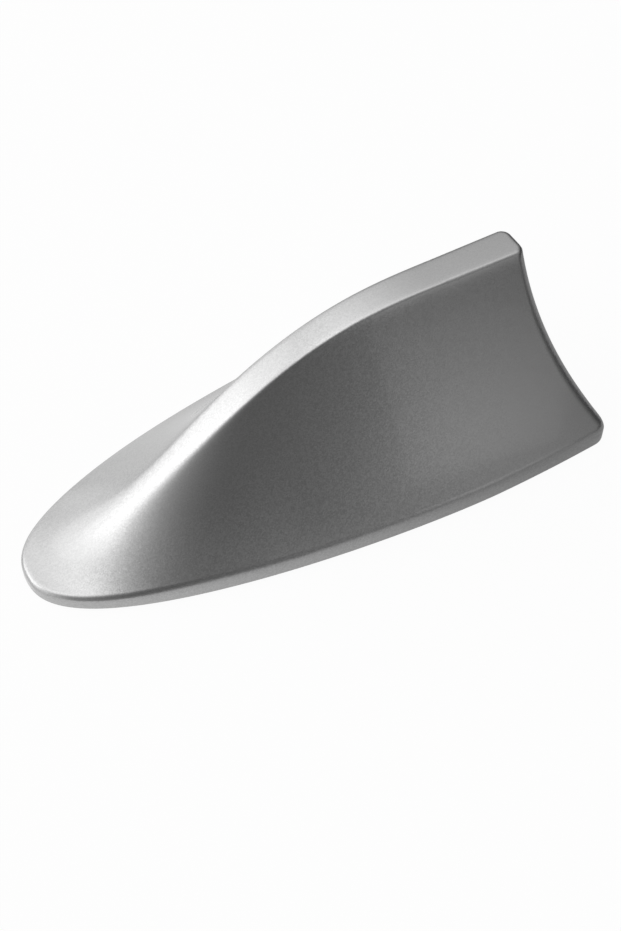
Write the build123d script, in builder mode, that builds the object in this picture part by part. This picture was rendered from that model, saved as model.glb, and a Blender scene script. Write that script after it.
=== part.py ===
from build123d import *

import math
import os

os.makedirs("parts", exist_ok=True)

# Shark fin aerial for a car roof. +X is the tail, +Z is up, the roof is z = 0 and the origin is the
# middle of the footprint. Distances called "along" are measured from the nose tip towards the tail.
# All sizes are millimetres.

# Footprint of the fin
LENGTH = 176.0
WIDTH = 79.7
WIDEST_ALONG = 133.7
TAIL_WIDTH = 76.2
NOSE_FULLNESS = 2.35
SIDE_FULLNESS = 1.57
TAIL_CORNER_RADIUS = 5.6

# Ridge, flanks, tail and lip of the cover
HEIGHT = 58.8
RIDGE_LEVEL_ALONG = 129.5
RIDGE_SWELL = 2.57
RIDGE_ONSET = 2.37
RIDGE_NOSE_WIDTH = 7.9
RIDGE_TAIL_WIDTH = 10.7
RIDGE_EDGE_BLEND = 1.0
NOSE_EDGE_BLEND = 2.4
FLANK_HOLLOW = 0.4
NOSE_BLUNT_ALONG = 9.5
FLANK_STARTS_ALONG = 76.5
NOSE_LIP = 4.1
TAIL_LIP = 5.1
LIP_LEVEL_ALONG = 100.0
LIP_MIDDLE = 2.2
LIP_ROUND = 0.5
TAIL_RAKE = 16.2
TAIL_EDGE_RADIUS = 3.0
WALL = 2.2
ROOF_GAP = 0.2

# Relief under the cover's nose and sides, which leaves a ring round the plate and ribs across
RING_WALL = 1.6
RELIEF_TAIL_INSET = 14.0
RIB = 1.2
NOSE_RIBS = 3
NOSE_RIB_PITCH = 11.0
SIDE_RIBS = 4
SIDE_RIB_PITCH = 30.0

# Tape, base plate and seal, stacked up from the roof
TAPE = 1.0
PLATE = 2.2
SEAL = 0.8
PLATE_SIDE_INSET = 8.5
PLATE_NOSE_INSET = 28.0
PLATE_TAIL_INSET = 5.0
PLATE_CORNER_RADIUS = 9.0
PLATE_CLEARANCE = 0.3
SEAL_WIDTH = 2.5
TAPE_MARGIN = 1.0
PLATE_RIB_WIDTH = 1.2
PLATE_RIB_HEIGHT = 2.0

# Screws that hold the cover, and its bosses
FRONT_SCREW_ALONG = 52.0
FRONT_SCREW_ACROSS = 13.5
REAR_SCREW_FROM_TAIL = 26.0
REAR_SCREW_ACROSS = 20.0
SCREW_DIAMETER = 2.9
SCREW_LENGTH = 8.0
SCREW_HEAD_DIAMETER = 5.4
SCREW_HEAD = 1.1
BOSS_DIAMETER = 7.0
SCREW_CLEARANCE = 0.1

# Main board on its posts
BOARD = 1.6
BOARD_START_ALONG = 66.0
BOARD_LENGTH = 80.0
BOARD_WIDTH = 30.0
BOARD_CORNER_RADIUS = 2.0
POST_HEIGHT = 3.3
POST_DIAMETER = 5.5
POST_INSET = 3.5
BOARD_SCREW_DIAMETER = 2.0
BOARD_SCREW_LENGTH = 5.5
BOARD_SCREW_HEAD_DIAMETER = 3.8
BOARD_SCREW_HEAD = 1.4

# Upright radiator board, its copper and its guides in the cover
RADIATOR = 1.2
RADIATOR_START_ALONG = 84.0
RADIATOR_GAP = 1.0
TAB_LENGTH = 8.0
TAB_CLEARANCE = 0.15
FIRST_TAB_ALONG = 96.0
SECOND_TAB_ALONG = 132.0
GUIDE = 1.6
GUIDE_DEPTH = 7.0
GUIDE_CLEARANCE = 0.3
FIRST_GUIDE_ALONG = 108.0
SECOND_GUIDE_FROM_TAIL = 30.0
COPPER = 0.15
TRACE_WIDTH = 2.0
TRACE_MARGIN = 4.0
TRACE_LEGS = 9

# Parts on the main board
CHOKE_ALONG = 76.0
CHOKE_ACROSS = 8.0
CHOKE_DIAMETER = 8.0
CHOKE_HEIGHT = 6.0
CHOKE_FLANGE = 1.0
CHOKE_SPINDLE = 4.0
WINDING_DIAMETER = 7.2
WINDING_CLEARANCE = 0.1
SHIELD_ALONG = 108.0
SHIELD_ACROSS = 8.0
SHIELD_LENGTH = 20.0
SHIELD_WIDTH = 10.0
SHIELD_HEIGHT = 4.5
SHIELD_SHEET = 0.3
VENT_DIAMETER = 1.2
VENT_PITCH = 4.0
VENTS_ALONG = 4
VENTS_ACROSS = 2
CHIP_LENGTH = 5.0
CHIP_WIDTH = 4.0
CHIP_HEIGHT = 1.6
LEAD_PITCH = 1.27
LEAD_WIDTH = 0.4
LEAD_SHEET = 0.2
LEAD_REACH = 1.0
LEADS_A_SIDE = 4
CERAMIC_ALONG = 100.0
CERAMIC_ACROSS = 8.0
CERAMIC_LENGTH = 2.0
CERAMIC_WIDTH = 1.25
CERAMIC_HEIGHT = 0.9
CERAMIC_PITCH = 4.0
CERAMICS_ALONG = 4
CERAMICS_ACROSS = 2
CAPACITOR_ALONG = 128.0
CAPACITOR_ACROSS = 8.0
CAPACITOR_DIAMETER = 6.3
CAPACITOR_HEIGHT = 5.8
CAPACITOR_FOOT = 6.6
CAPACITOR_FOOT_HEIGHT = 1.0
CAPACITOR_EDGE_RADIUS = 0.6
HEADER_ALONG = 76.0
HEADER_ACROSS = 8.0
HEADER_LENGTH = 5.8
HEADER_WIDTH = 7.4
HEADER_HEIGHT = 6.0
HEADER_WALL = 0.8
HEADER_FLOOR = 1.5
PIN = 0.64
PIN_PITCH = 2.5
PINS = 2
PIN_HEIGHT = 5.0
PIN_TAIL = 1.0
PIN_CLEARANCE = 0.1

# Grommet where the lead leaves
OUTLET_ALONG = 42.0
LEAD_HOLE_DIAMETER = 3.2
GROMMET_NECK = 9.0
GROMMET_FLANGE = 12.0
GROMMET_LOWER_FLANGE = 0.8
GROMMET_UPPER_FLANGE = 1.2
GROMMET_SPIGOT = 6.0
GROMMET_SPIGOT_HEIGHT = 4.0
GROMMET_CLEARANCE = 0.1
TAPE_HOLE_CLEARANCE = 1.0

# How finely the formulas are followed
STATIONS = 14
STATION_BUNCHING = 1.3
FLANK_STEPS = 6
EDGE_SPREAD = 0.8
FOOTPRINT_STEPS = 12
FOOTPRINT_BUNCHING = 2.2
PLATE_STEPS = 6
INSET_SIDEWAYS = 0.75
OVERRUN = 3.0
BELOW = 12.0
LIP_STEPS = 10
LIP_STEP = 1.1
TAIL_STEPS = 6
TAIL_EDGE_TURN = 70.0
TAIL_RUN_OUT = 12.0

# Levels above the roof
plate_top = TAPE + PLATE
ledge = plate_top + SEAL
board_bottom = plate_top + POST_HEIGHT
board_top = board_bottom + BOARD

# Where the ridge ends, measured from the nose
ridge_end = LENGTH - TAIL_RAKE


def half_width(along):
    """Half of the footprint's width: a blunt superellipse nose, then a slight taper to the tail."""
    if along <= 0.0:
        return 0.0
    if along < WIDEST_ALONG:
        nose_share = 1.0 - (1.0 - along / WIDEST_ALONG) ** SIDE_FULLNESS
        return WIDTH / 2 * nose_share ** (1.0 / NOSE_FULLNESS)
    tail_share = (along - WIDEST_ALONG) / (LENGTH - WIDEST_ALONG)
    return WIDTH / 2 - (WIDTH - TAIL_WIDTH) / 2 * tail_share**2


def lip_height(along):
    """Height of the lip's top edge above the roof: rises from the nose, then runs level to the tail."""
    still_to_rise = max(1.0 - along / LIP_LEVEL_ALONG, 0.0)
    return TAIL_LIP - (TAIL_LIP - NOSE_LIP) * still_to_rise**2


def wall_inset(height):
    """Inset of the rounded lip at a height: none at its middle, and a straight lean high above it."""
    past_middle = height / LIP_MIDDLE - 1.0
    if past_middle < 1.0:
        return LIP_ROUND * past_middle**2
    return LIP_ROUND * (2 * past_middle - 1.0)


def lip_half_width(along):
    """Half of the width at the lip's top edge."""
    return half_width(max(along, NOSE_BLUNT_ALONG)) * (1.0 - 2 * wall_inset(lip_height(along)) / WIDTH)


def ridge_height(along):
    """Height of the ridge: an S-curve from the nose lip to a level run towards the tail."""
    rise = min(max(along / RIDGE_LEVEL_ALONG, 0.0), 1.0)
    return NOSE_LIP + (HEIGHT - NOSE_LIP) * (1.0 - (1.0 - rise) ** RIDGE_SWELL) ** RIDGE_ONSET


def ridge_half_width(along):
    """Half of the width of the flat strip along the ridge."""
    return (RIDGE_NOSE_WIDTH + (RIDGE_TAIL_WIDTH - RIDGE_NOSE_WIDTH) * along / LENGTH) / 2


def finness(along):
    """0 at the domed nose, 1 where the flanks are fully hollow, smooth in between."""
    share = min(max(along / FLANK_STARTS_ALONG, 0.0), 1.0)
    return share**2 * (3.0 - 2.0 * share)


def skin_height(along, across, inset=0.0):
    """Height of the skin, moved inwards by inset: dome and hollow flank mixed by finness."""
    lip = lip_height(along) - inset
    rise = max(ridge_height(along) - lip_height(along), 0.0)
    edge = lip_half_width(along) - INSET_SIDEWAYS * inset
    strip = ridge_half_width(along) - INSET_SIDEWAYS * inset
    dome = 1.0 - (across / edge) ** 2
    reach = (abs(across) - strip) / (edge - strip)
    flank = (1.0 - reach) * (1.0 - FLANK_HOLLOW * reach)
    fin = finness(along)
    blend = (RIDGE_EDGE_BLEND + NOSE_EDGE_BLEND * (1.0 - fin)) / max(rise, RIDGE_EDGE_BLEND)
    flank = (1.0 + flank - math.sqrt((1.0 - flank) ** 2 + blend**2)) / 2
    return lip + rise * ((1.0 - fin) * dome + fin * flank)


def section_points(along, inset):
    """Points of one cross-section's skin from side to side, closest together at the ridge's edges."""
    strip = ridge_half_width(along) - INSET_SIDEWAYS * inset
    edge = lip_half_width(along) - INSET_SIDEWAYS * inset + OVERRUN
    start = strip + 4 * EDGE_SPREAD
    across = [strip + EDGE_SPREAD * spread for spread in (-2.0, -1.0, -0.5, 0.0, 0.5, 1.0, 2.0)]
    across += [start + (edge - start) * step / FLANK_STEPS for step in range(FLANK_STEPS + 1)]
    across = [-value for value in reversed(across)] + [0.0] + across
    return [(value, skin_height(along, value, inset)) for value in across]


def chord_shares(points):
    """Share of the path length at each point, used as the curve's parameter in every section."""
    lengths = [0.0]
    for first, second in zip(points, points[1:]):
        lengths.append(lengths[-1] + math.dist(first, second))
    return [length / lengths[-1] for length in lengths]


def skin_body(inset):
    """Solid under the skin: cross-sections along the fin, lofted."""
    shares = chord_shares(section_points(LENGTH / 2, inset))
    with BuildPart() as body:
        for number in range(STATIONS):
            spread = (number / (STATIONS - 1)) ** STATION_BUNCHING
            along = -OVERRUN + (LENGTH + 2 * OVERRUN) * spread
            points = section_points(along, inset)
            with BuildSketch(Plane.YZ.offset(along - LENGTH / 2)):
                with BuildLine():
                    add(Edge.make_spline(points, parameters=shares))
                    Polyline(points[-1], (points[-1][0], -BELOW), (points[0][0], -BELOW), points[0])
                make_face()
        loft()
    return body.part


def footprint(inset):
    """Outline of the footprint moved inwards by inset: a curve round the nose, closed across the tail."""
    shorter = 1.0 - 2 * inset / LENGTH
    narrower = 1.0 - 2 * inset / WIDTH
    side = []
    for step in range(1, FOOTPRINT_STEPS + 1):
        along = LENGTH * (step / FOOTPRINT_STEPS) ** FOOTPRINT_BUNCHING
        side.append(((along - LENGTH / 2) * shorter, half_width(along) * narrower))
    points = [(place, -width) for place, width in reversed(side)] + [(-LENGTH / 2 * shorter, 0.0)] + side
    with BuildSketch() as outline:
        with BuildLine():
            Spline(*points)
            Line(points[-1], points[0])
        make_face()
        fillet(outline.vertices(), TAIL_CORNER_RADIUS)
    return outline.sketch


def inner_tail_cut(inset):
    """Solid behind a tail face that lies inset ahead of the outer one, straight across."""
    top = (ridge_end - LENGTH / 2 - inset, HEIGHT + OVERRUN)
    foot = (LENGTH / 2 - wall_inset(TAIL_LIP) - inset, TAIL_LIP)
    bend = (top[0], (HEIGHT + TAIL_LIP) / 2)
    below = (2 * foot[0] - bend[0], 2 * foot[1] - bend[1])
    with BuildPart() as cut:
        with BuildSketch(Plane.XZ.offset(WIDTH)):
            with BuildLine():
                Bezier(top, bend, foot)
                Polyline(foot, below, (below[0], top[1]), top)
            make_face()
        extrude(amount=-2 * WIDTH)
    return cut.part


def tail_along(height):
    """Distance of the tail's face from the nose at a height: a parabola, upright at the ridge."""
    drop = max(HEIGHT - height, 0.0) / (HEIGHT - TAIL_LIP)
    foot = LENGTH - wall_inset(TAIL_LIP)
    return ridge_end + (foot - ridge_end) * drop**2


def flank_half_width(along, height):
    """Distance from the middle line to the flank at a height: skin_height's flank the other way round."""
    edge = lip_half_width(along)
    strip = ridge_half_width(along)
    share = (height - lip_height(along)) / (ridge_height(along) - lip_height(along))
    steepest = 1.0 + FLANK_HOLLOW
    reach = (steepest - math.sqrt(steepest**2 - 4 * FLANK_HOLLOW * (1.0 - share))) / (2 * FLANK_HOLLOW)
    return strip + (edge - strip) * reach


def tail_cut():
    """Solid behind the tail's face: lofted plans that round the trailing edges and run out past them."""
    turn = math.radians(TAIL_EDGE_TURN)
    with BuildPart() as cut:
        for step in range(TAIL_STEPS + 1):
            height = (HEIGHT + OVERRUN) * step / TAIL_STEPS
            face = tail_along(height)
            middle = flank_half_width(face, height) - TAIL_EDGE_RADIUS
            start = face - TAIL_EDGE_RADIUS - LENGTH / 2
            arc = []
            for angle in (0.0, turn / 2, turn):
                forward = TAIL_EDGE_RADIUS * math.cos(angle)
                outward = TAIL_EDGE_RADIUS * math.sin(angle)
                arc.append((start + forward, middle + outward))
            out = (arc[-1][0] - TAIL_RUN_OUT * math.sin(turn), arc[-1][1] + TAIL_RUN_OUT * math.cos(turn))
            other = [(place, -width) for place, width in arc]
            with BuildSketch(Plane.XY.offset(height)):
                with BuildLine():
                    ThreePointArc(*arc)
                    Polyline(
                        arc[-1],
                        out,
                        (LENGTH, out[1]),
                        (LENGTH, -out[1]),
                        (out[0], -out[1]),
                        other[-1],
                    )
                    ThreePointArc(*reversed(other))
                    Line(other[0], arc[0])
                make_face()
        loft()
    return cut.part


def envelope():
    """Space inside the rounded lip: footprints at a row of heights, lofted, and open space above them."""
    with BuildPart() as space:
        for step in range(LIP_STEPS + 1):
            with BuildSketch(Plane.XY.offset(ROOF_GAP + step * LIP_STEP)):
                add(footprint(wall_inset(step * LIP_STEP)))
        loft()
        with BuildSketch(Plane.XY.offset(ROOF_GAP + LIP_STEPS * LIP_STEP)):
            Rectangle(LENGTH, WIDTH)
        extrude(amount=HEIGHT)
    return space.part


def plate_outline(grow):
    """Outline of the base plate moved outwards by grow: the footprint's sides with rounded square ends."""
    front = PLATE_NOSE_INSET - grow
    back = LENGTH - PLATE_TAIL_INSET + grow
    side = []
    for step in range(PLATE_STEPS + 1):
        along = front + (back - front) * step / PLATE_STEPS
        side.append((along - LENGTH / 2, half_width(along) - PLATE_SIDE_INSET + grow))
    other = [(place, -width) for place, width in side]
    with BuildSketch() as outline:
        with BuildLine():
            Spline(*side)
            Line(side[-1], other[-1])
            Spline(*reversed(other))
            Line(other[0], side[0])
        make_face()
        fillet(outline.vertices(), PLATE_CORNER_RADIUS + grow)
    return outline.sketch


def on_plate(along, across):
    """Place of something given by its distance from the nose and from the middle line."""
    return (along - LENGTH / 2, across)


screw_places = [
    on_plate(FRONT_SCREW_ALONG, FRONT_SCREW_ACROSS),
    on_plate(FRONT_SCREW_ALONG, -FRONT_SCREW_ACROSS),
    on_plate(LENGTH - REAR_SCREW_FROM_TAIL, REAR_SCREW_ACROSS),
    on_plate(LENGTH - REAR_SCREW_FROM_TAIL, -REAR_SCREW_ACROSS),
]
board_middle = on_plate(BOARD_START_ALONG + BOARD_LENGTH / 2, 0.0)
post_spacing = (BOARD_LENGTH - 2 * POST_INSET, BOARD_WIDTH - 2 * POST_INSET)
post_places = []
for end in (-1, 1):
    for side in (-1, 1):
        post_places.append((board_middle[0] + end * post_spacing[0] / 2, side * post_spacing[1] / 2))
outlet_place = on_plate(OUTLET_ALONG, 0.0)


def cavity(inner_skin):
    """Space inside the cover above the ledge that the seal presses on."""
    with BuildPart() as space:
        add(inner_skin)
        add(inner_tail_cut(WALL), mode=Mode.SUBTRACT)
        with BuildSketch(Plane.XY.offset(ledge)):
            add(plate_outline(-SEAL_WIDTH))
        extrude(amount=HEIGHT, mode=Mode.INTERSECT)
    return space.part


def relief(inner_skin):
    """Bays under the nose and the sides that keep the moulding thin, with ribs left between them."""
    with BuildPart() as bays:
        with BuildSketch() as plan:
            add(footprint(WALL))
            add(plate_outline(PLATE_CLEARANCE + RING_WALL), mode=Mode.SUBTRACT)
            with Locations(on_plate(LENGTH, 0.0)):
                Rectangle(2 * RELIEF_TAIL_INSET, WIDTH, mode=Mode.SUBTRACT)
            with Locations(on_plate(0.0, 0.0)):
                with GridLocations(0.0, NOSE_RIB_PITCH, 1, NOSE_RIBS):
                    Rectangle(2 * PLATE_NOSE_INSET, RIB, mode=Mode.SUBTRACT)
            with GridLocations(SIDE_RIB_PITCH, 0.0, SIDE_RIBS, 1):
                Rectangle(RIB, WIDTH, mode=Mode.SUBTRACT)
        extrude(amount=HEIGHT)
        add(inner_skin, mode=Mode.INTERSECT)
    return bays.part


def fittings():
    """Screw bosses and slotted radiator guides, grown up into the wall of the cover."""
    with BuildPart() as grown:
        with BuildSketch(Plane.XY.offset(plate_top)):
            with Locations(*screw_places):
                Circle(BOSS_DIAMETER / 2)
        extrude(amount=HEIGHT)
        for along in (FIRST_GUIDE_ALONG, LENGTH - SECOND_GUIDE_FROM_TAIL):
            with BuildSketch(Plane.XY.offset(ridge_height(along) - WALL - GUIDE_DEPTH)):
                with Locations(on_plate(along, 0.0)):
                    Rectangle(GUIDE, WIDTH)
                    Rectangle(GUIDE, RADIATOR + 2 * GUIDE_CLEARANCE, mode=Mode.SUBTRACT)
            extrude(amount=HEIGHT)
        add(skin_body(WALL / 2), mode=Mode.INTERSECT)
        add(inner_tail_cut(WALL / 2), mode=Mode.SUBTRACT)
    return grown.part


# Cover: lofted skin, raked tail and rounded lip, hollowed and fitted out
with BuildPart() as fin_cover:
    add(skin_body(0.0))
    add(tail_cut(), mode=Mode.SUBTRACT)
    add(envelope(), mode=Mode.INTERSECT)
    inner_skin = skin_body(WALL)
    add(cavity(inner_skin), mode=Mode.SUBTRACT)
    add(relief(inner_skin), mode=Mode.SUBTRACT)
    with BuildSketch():
        add(plate_outline(PLATE_CLEARANCE))
    extrude(amount=ledge, mode=Mode.SUBTRACT)
    add(fittings())
    with BuildSketch(Plane.XY.offset(plate_top)):
        with Locations(*screw_places):
            Circle(SCREW_DIAMETER / 2 + SCREW_CLEARANCE)
    extrude(amount=SCREW_LENGTH, mode=Mode.SUBTRACT)
fin_cover.part.label = "fin_cover"
export_step(fin_cover.part, "parts/fin_cover.step")

# Base plate: counterbored screw holes, board posts, ribs and the outlet hole
with BuildPart() as base_plate:
    with BuildSketch(Plane.XY.offset(TAPE)):
        add(plate_outline(0.0))
    extrude(amount=PLATE)
    with BuildSketch(Plane.XY.offset(plate_top)):
        with Locations(*post_places):
            Circle(POST_DIAMETER / 2)
    extrude(amount=POST_HEIGHT)
    with BuildSketch(Plane.XY.offset(plate_top)):
        with Locations(board_middle):
            with GridLocations(0.0, post_spacing[1], 1, 2):
                Rectangle(post_spacing[0], PLATE_RIB_WIDTH)
    extrude(amount=PLATE_RIB_HEIGHT)
    with BuildSketch(Plane.XY.offset(board_bottom)):
        with Locations(*post_places):
            Circle(BOARD_SCREW_DIAMETER / 2 + SCREW_CLEARANCE)
    extrude(amount=BOARD - BOARD_SCREW_LENGTH - SCREW_CLEARANCE, mode=Mode.SUBTRACT)
    with BuildSketch(Plane.XY.offset(TAPE)):
        with Locations(*screw_places):
            Circle(SCREW_HEAD_DIAMETER / 2 + SCREW_CLEARANCE)
    extrude(amount=SCREW_HEAD, mode=Mode.SUBTRACT)
    with BuildSketch(Plane.XY.offset(TAPE)):
        with Locations(*screw_places):
            Circle(SCREW_DIAMETER / 2 + SCREW_CLEARANCE)
        with Locations(outlet_place):
            Circle(GROMMET_NECK / 2 + GROMMET_CLEARANCE)
    extrude(amount=PLATE, mode=Mode.SUBTRACT)
base_plate.part.label = "base_plate"
export_step(base_plate.part, "parts/base_plate.step")

# Foam seal between the plate and the cover's ledge
with BuildPart() as seal_gasket:
    with BuildSketch(Plane.XY.offset(plate_top)):
        add(plate_outline(0.0))
        add(plate_outline(-SEAL_WIDTH), mode=Mode.SUBTRACT)
    extrude(amount=SEAL)
seal_gasket.part.label = "seal_gasket"
export_step(seal_gasket.part, "parts/seal_gasket.step")

# Foam tape that holds the aerial to the roof
with BuildPart() as adhesive_pad:
    with BuildSketch():
        add(plate_outline(-TAPE_MARGIN))
        with Locations(outlet_place):
            Circle(GROMMET_FLANGE / 2 + TAPE_HOLE_CLEARANCE, mode=Mode.SUBTRACT)
    extrude(amount=TAPE)
adhesive_pad.part.label = "adhesive_pad"
export_step(adhesive_pad.part, "parts/adhesive_pad.step")

# Screws up through the plate into the cover's bosses
with BuildPart() as cover_screws:
    with BuildSketch(Plane.XY.offset(TAPE)):
        with Locations(*screw_places):
            Circle(SCREW_HEAD_DIAMETER / 2)
    extrude(amount=SCREW_HEAD)
    with BuildSketch(Plane.XY.offset(TAPE + SCREW_HEAD)):
        with Locations(*screw_places):
            Circle(SCREW_DIAMETER / 2)
    extrude(amount=SCREW_LENGTH)
cover_screws.part.label = "cover_screws"
export_step(cover_screws.part, "parts/cover_screws.step")

# Main board
header_place = on_plate(HEADER_ALONG, -HEADER_ACROSS)
tab_places = [on_plate(FIRST_TAB_ALONG, 0.0), on_plate(SECOND_TAB_ALONG, 0.0)]
with BuildPart() as main_board:
    with BuildSketch(Plane.XY.offset(board_bottom)):
        with Locations(board_middle):
            RectangleRounded(BOARD_LENGTH, BOARD_WIDTH, BOARD_CORNER_RADIUS)
        with Locations(*post_places):
            Circle(BOARD_SCREW_DIAMETER / 2 + SCREW_CLEARANCE, mode=Mode.SUBTRACT)
        with Locations(*tab_places):
            Rectangle(TAB_LENGTH + 2 * TAB_CLEARANCE, RADIATOR + 2 * TAB_CLEARANCE, mode=Mode.SUBTRACT)
        with Locations(header_place):
            with GridLocations(0.0, PIN_PITCH, 1, PINS):
                Rectangle(PIN + 2 * PIN_CLEARANCE, PIN + 2 * PIN_CLEARANCE, mode=Mode.SUBTRACT)
    extrude(amount=BOARD)
main_board.part.label = "main_board"
export_step(main_board.part, "parts/main_board.step")

# Pan-head screws down into the posts
with BuildPart() as board_screws:
    with BuildSketch(Plane.XY.offset(board_top)):
        with Locations(*post_places):
            Circle(BOARD_SCREW_HEAD_DIAMETER / 2)
    extrude(amount=BOARD_SCREW_HEAD)
    with BuildSketch(Plane.XY.offset(board_top)):
        with Locations(*post_places):
            Circle(BOARD_SCREW_DIAMETER / 2)
    extrude(amount=-BOARD_SCREW_LENGTH)
board_screws.part.label = "board_screws"
export_step(board_screws.part, "parts/board_screws.step")

# Upright radiator board under the ridge, tabbed into the main board
radiator_end = ridge_end - WALL - RADIATOR_GAP


def radiator_top(along):
    """Height of the radiator board's top edge, just under the inside of the ridge."""
    return ridge_height(along) - WALL - RADIATOR_GAP


with BuildPart() as radiator_board:
    with BuildSketch(Plane.XZ.offset(RADIATOR / 2)):
        with BuildLine():
            top_edge = []
            for step in range(PLATE_STEPS + 1):
                along = RADIATOR_START_ALONG + (radiator_end - RADIATOR_START_ALONG) * step / PLATE_STEPS
                top_edge.append((along - LENGTH / 2, radiator_top(along)))
            Spline(*top_edge)
            Polyline(top_edge[-1], (top_edge[-1][0], board_top), (top_edge[0][0], board_top), top_edge[0])
        make_face()
        with Locations(*[(place[0], board_top - BOARD / 2) for place in tab_places]):
            Rectangle(TAB_LENGTH, BOARD)
    extrude(amount=-RADIATOR)
radiator_board.part.label = "radiator_board"
export_step(radiator_board.part, "parts/radiator_board.step")

# Copper meander on the near face of the radiator board
leg_first = RADIATOR_START_ALONG + TRACE_MARGIN
leg_pitch = (radiator_end - TRACE_MARGIN - leg_first) / (TRACE_LEGS - 1)
leg_bottom = board_top + TRACE_MARGIN
with BuildPart() as radiator_trace:
    with BuildSketch(Plane.XZ.offset(RADIATOR / 2)):
        for leg in range(TRACE_LEGS):
            along = leg_first + leg * leg_pitch
            leg_top = radiator_top(along) - GUIDE_DEPTH - TRACE_MARGIN
            foot = board_top if leg == 0 else leg_bottom
            with Locations((along - LENGTH / 2, (leg_top + foot) / 2)):
                Rectangle(TRACE_WIDTH, leg_top - foot)
            if leg < TRACE_LEGS - 1:
                turn = leg_top - TRACE_WIDTH / 2 if leg % 2 == 0 else leg_bottom + TRACE_WIDTH / 2
                with Locations((along + leg_pitch / 2 - LENGTH / 2, turn)):
                    Rectangle(leg_pitch + TRACE_WIDTH, TRACE_WIDTH)
    extrude(amount=COPPER)
radiator_trace.part.label = "radiator_trace"
export_step(radiator_trace.part, "parts/radiator_trace.step")

# Drum choke at the foot of the radiator
choke_plane = Plane(on_plate(CHOKE_ALONG, CHOKE_ACROSS) + (board_top,))
with BuildPart() as choke_core:
    with BuildSketch(choke_plane):
        Circle(CHOKE_DIAMETER / 2)
    extrude(amount=CHOKE_HEIGHT)
    with BuildSketch(choke_plane.offset(CHOKE_FLANGE)):
        Circle(CHOKE_DIAMETER / 2)
        Circle(CHOKE_SPINDLE / 2, mode=Mode.SUBTRACT)
    extrude(amount=CHOKE_HEIGHT - 2 * CHOKE_FLANGE, mode=Mode.SUBTRACT)
choke_core.part.label = "choke_core"
export_step(choke_core.part, "parts/choke_core.step")

with BuildPart() as choke_winding:
    with BuildSketch(choke_plane.offset(CHOKE_FLANGE)):
        Circle(WINDING_DIAMETER / 2)
        Circle(CHOKE_SPINDLE / 2 + WINDING_CLEARANCE, mode=Mode.SUBTRACT)
    extrude(amount=CHOKE_HEIGHT - 2 * CHOKE_FLANGE - WINDING_CLEARANCE)
choke_winding.part.label = "choke_winding"
export_step(choke_winding.part, "parts/choke_winding.step")

# Folded tinplate can over the amplifier, with vents
shield_plane = Plane(on_plate(SHIELD_ALONG, SHIELD_ACROSS) + (board_top,))
with BuildPart() as shield_can:
    with BuildSketch(shield_plane):
        Rectangle(SHIELD_LENGTH, SHIELD_WIDTH)
    extrude(amount=SHIELD_HEIGHT)
    with BuildSketch(shield_plane):
        Rectangle(SHIELD_LENGTH - 2 * SHIELD_SHEET, SHIELD_WIDTH - 2 * SHIELD_SHEET)
    extrude(amount=SHIELD_HEIGHT - SHIELD_SHEET, mode=Mode.SUBTRACT)
    with BuildSketch(shield_plane):
        with GridLocations(VENT_PITCH, VENT_PITCH, VENTS_ALONG, VENTS_ACROSS):
            Circle(VENT_DIAMETER / 2)
    extrude(amount=SHIELD_HEIGHT, mode=Mode.SUBTRACT)
shield_can.part.label = "shield_can"
export_step(shield_can.part, "parts/shield_can.step")

# Amplifier in the can: a moulded body on eight bent leads
with BuildPart() as amplifier_chip:
    with BuildSketch(shield_plane.offset(LEAD_SHEET)):
        Rectangle(CHIP_LENGTH, CHIP_WIDTH)
    extrude(amount=CHIP_HEIGHT - LEAD_SHEET)
    with BuildSketch(shield_plane):
        with GridLocations(LEAD_PITCH, CHIP_WIDTH + LEAD_REACH, LEADS_A_SIDE, 2):
            Rectangle(LEAD_WIDTH, LEAD_REACH)
    extrude(amount=LEAD_SHEET)
    with BuildSketch(shield_plane):
        with GridLocations(LEAD_PITCH, CHIP_WIDTH + LEAD_SHEET, LEADS_A_SIDE, 2):
            Rectangle(LEAD_WIDTH, LEAD_SHEET)
    extrude(amount=CHIP_HEIGHT / 2)
amplifier_chip.part.label = "amplifier_chip"
export_step(amplifier_chip.part, "parts/amplifier_chip.step")

# Ceramic capacitors in two rows
with BuildPart() as chip_capacitors:
    with BuildSketch(Plane(on_plate(CERAMIC_ALONG, -CERAMIC_ACROSS) + (board_top,))):
        with GridLocations(CERAMIC_PITCH, CERAMIC_PITCH, CERAMICS_ALONG, CERAMICS_ACROSS):
            Rectangle(CERAMIC_LENGTH, CERAMIC_WIDTH)
    extrude(amount=CERAMIC_HEIGHT)
chip_capacitors.part.label = "chip_capacitors"
export_step(chip_capacitors.part, "parts/chip_capacitors.step")

# Supply capacitor: a rounded can on a square foot
capacitor_plane = Plane(on_plate(CAPACITOR_ALONG, -CAPACITOR_ACROSS) + (board_top,))
with BuildPart() as supply_capacitor:
    with BuildSketch(capacitor_plane.offset(CAPACITOR_FOOT_HEIGHT)):
        Circle(CAPACITOR_DIAMETER / 2)
    extrude(amount=CAPACITOR_HEIGHT - CAPACITOR_FOOT_HEIGHT)
    fillet(supply_capacitor.edges().sort_by(Axis.Z)[-1], CAPACITOR_EDGE_RADIUS)
    with BuildSketch(capacitor_plane):
        Rectangle(CAPACITOR_FOOT, CAPACITOR_FOOT)
    extrude(amount=CAPACITOR_FOOT_HEIGHT)
supply_capacitor.part.label = "supply_capacitor"
export_step(supply_capacitor.part, "parts/supply_capacitor.step")

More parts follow.
